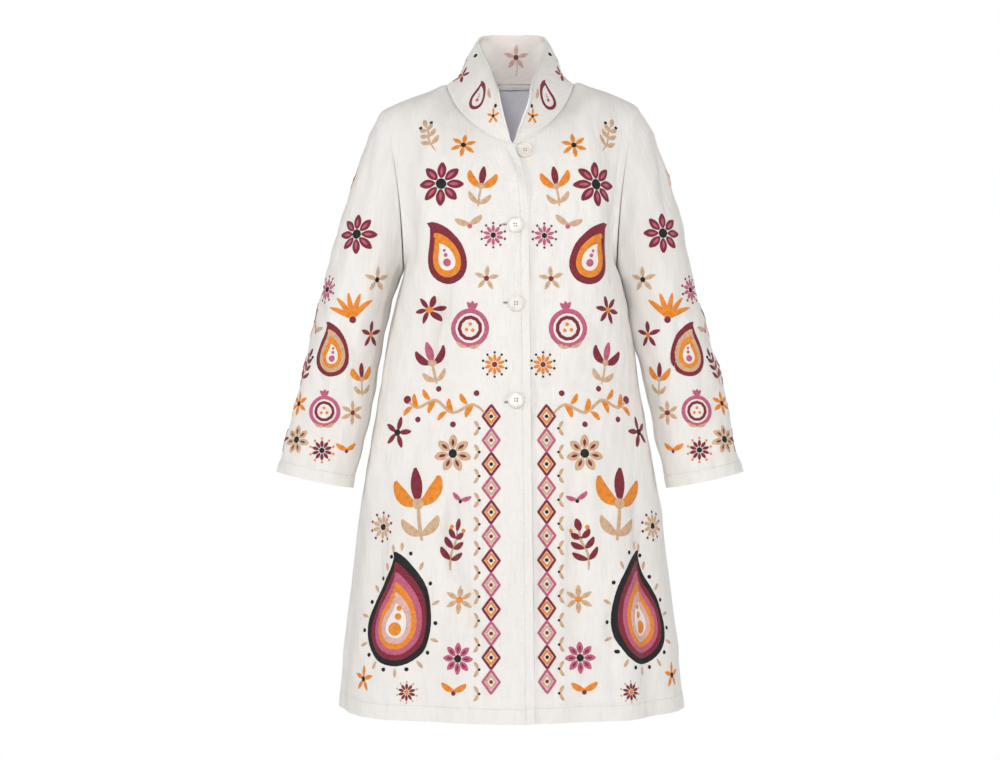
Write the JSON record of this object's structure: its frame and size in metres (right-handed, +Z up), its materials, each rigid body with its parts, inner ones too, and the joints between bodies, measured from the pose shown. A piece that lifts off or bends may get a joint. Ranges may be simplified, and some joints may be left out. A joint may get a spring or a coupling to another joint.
{
  "type": "embroidered coat",
  "caption": "Long open-necked off-white coat with stand collar, set-in sleeves and buttoned overlapping fronts, hollow and posed as worn.",
  "frame": {"origin": "midway between the neck ends of the two shoulder seams, where the wearer's shoulders hold the coat up", "axes": "+Z up, along the coat's length; the wearer faces -Y; the wearer's left is +X"},
  "size_m": [0.7135, 0.352, 1.0453],
  "materials": {
    "cloth": "matt slub linen and cotton",
    "lining": "smooth, slightly shiny lining",
    "button": "satin"
  },
  "bodies": {
    "root": {"back": "cloth", "front_right": "cloth", "front_left": "cloth", "sleeve_right": "cloth", "sleeve_left": "cloth", "collar": "cloth", "back_lining": "lining", "hanger_loop": "lining", "button_1": "button", "button_2": "button", "button_3": "button", "button_4": "button"}
  },
  "joints": []
}
